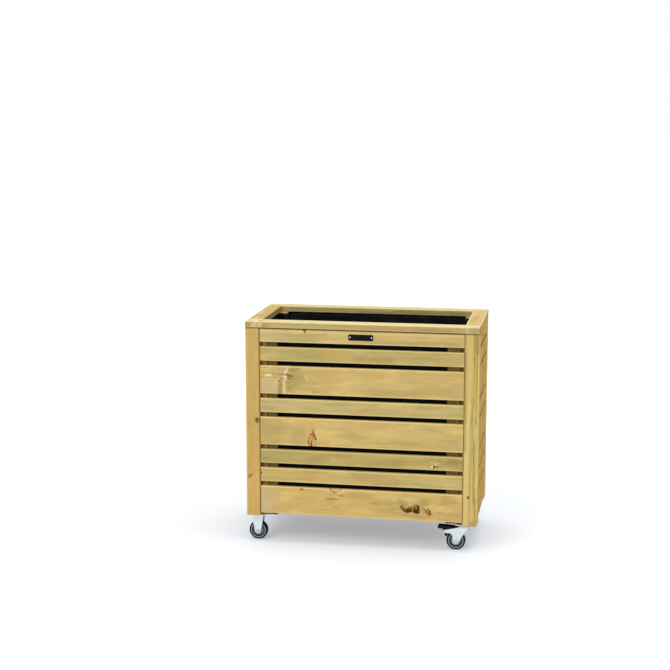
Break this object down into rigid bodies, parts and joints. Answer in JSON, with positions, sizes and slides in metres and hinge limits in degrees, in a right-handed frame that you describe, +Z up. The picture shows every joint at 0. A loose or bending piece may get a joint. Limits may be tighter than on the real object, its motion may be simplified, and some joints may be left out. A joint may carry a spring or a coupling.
{
  "type": "rolling planter",
  "caption": "Rectangular slatted timber planter with a black liner, on fixed casters at one end and braked swivel casters at the other.",
  "frame": {"origin": "centre of the planter's footprint, on the floor under the wheels", "axes": "+X along the width, towards the swivel casters; -Y is the front, with the nameplate; +Z up"},
  "size_m": [0.74, 0.3808, 0.7215],
  "materials": {
    "pine": "planed, pressure treated",
    "rough_pine": "sawn",
    "stained_pine": "dark stain",
    "film": "satin film",
    "plate_black": "satin",
    "rivet": "satin",
    "tyre": "matte",
    "wheel_centre": "satin",
    "pedal": "satin",
    "zinc": "zinc plated",
    "bolt_steel": "zinc plated",
    "bearing_steel": "polished"
  },
  "bodies": {
    "planter": {"post_front_left": "pine", "post_front_right": "pine", "post_rear_left": "pine", "post_rear_right": "pine", "front_slat_1": "pine", "front_slat_2": "pine", "front_slat_3": "pine", "front_slat_4": "pine", "front_slat_5": "pine", "front_slat_6": "pine", "front_slat_7": "pine", "front_slat_8": "pine", "rear_slats": "pine", "left_slats": "pine", "right_slats": "pine", "rim_front": "pine", "rim_rear": "pine", "rim_left": "pine", "rim_right": "pine", "front_battens": "rough_pine", "rear_battens": "rough_pine", "left_battens": "rough_pine", "right_battens": "rough_pine", "floor_bearer_left": "stained_pine", "floor_bearer_right": "stained_pine", "floor_boards": "rough_pine", "liner": "film", "nameplate": "plate_black", "nameplate_rivets": "rivet", "caster_screws": "bolt_steel", "rigid_fork_front": "zinc", "rigid_axle_front": "bolt_steel", "rigid_fork_rear": "zinc", "rigid_axle_rear": "bolt_steel", "swivel_plate_front": "zinc", "swivel_race_front": "zinc", "swivel_balls_front": "bearing_steel", "kingpin_front": "bolt_steel", "swivel_plate_rear": "zinc", "swivel_race_rear": "zinc", "swivel_balls_rear": "bearing_steel", "kingpin_rear": "bolt_steel"},
    "rigid_wheel_front": {"rigid_wheel_front": "wheel_centre", "rigid_tyre_front": "tyre"},
    "swivel_front": {"swivel_fork_front": "zinc", "swivel_axle_front": "bolt_steel", "pedal_pin_front": "bolt_steel"},
    "swivel_wheel_front": {"swivel_wheel_front": "wheel_centre", "swivel_tyre_front": "tyre"},
    "pedal_front": {"brake_pedal_front": "pedal"},
    "rigid_wheel_rear": {"rigid_wheel_rear": "wheel_centre", "rigid_tyre_rear": "tyre"},
    "swivel_rear": {"swivel_fork_rear": "zinc", "swivel_axle_rear": "bolt_steel", "pedal_pin_rear": "bolt_steel"},
    "swivel_wheel_rear": {"swivel_wheel_rear": "wheel_centre", "swivel_tyre_rear": "tyre"},
    "pedal_rear": {"brake_pedal_rear": "pedal"}
  },
  "joints": [
    {"name": "rigid_wheel_front_spin", "type": "hinge", "parent": "planter", "child": "rigid_wheel_front", "pos_m": [-0.339, -0.1505, 0.03], "axis": [0, 1, 0], "continuous": true},
    {"name": "swivel_front_turn", "type": "hinge", "parent": "planter", "child": "swivel_front", "pos_m": [0.3285, -0.1505, 0.088], "axis": [0, 0, 1], "continuous": true},
    {"name": "swivel_wheel_front_spin", "type": "hinge", "parent": "swivel_front", "child": "swivel_wheel_front", "pos_m": [0.3025, -0.1505, 0.03], "axis": [0, 1, 0], "continuous": true},
    {"name": "brake_pedal_front_press", "type": "hinge", "parent": "swivel_front", "child": "pedal_front", "pos_m": [0.2665, -0.1505, 0.06], "axis": [0, -1, 0], "range_deg": [0, 10]},
    {"name": "rigid_wheel_rear_spin", "type": "hinge", "parent": "planter", "child": "rigid_wheel_rear", "pos_m": [-0.339, 0.1505, 0.03], "axis": [0, 1, 0], "continuous": true},
    {"name": "swivel_rear_turn", "type": "hinge", "parent": "planter", "child": "swivel_rear", "pos_m": [0.3285, 0.1505, 0.088], "axis": [0, 0, 1], "continuous": true},
    {"name": "swivel_wheel_rear_spin", "type": "hinge", "parent": "swivel_rear", "child": "swivel_wheel_rear", "pos_m": [0.3025, 0.1505, 0.03], "axis": [0, 1, 0], "continuous": true},
    {"name": "brake_pedal_rear_press", "type": "hinge", "parent": "swivel_rear", "child": "pedal_rear", "pos_m": [0.2665, 0.1505, 0.06], "axis": [0, -1, 0], "range_deg": [0, 10]}
  ]
}
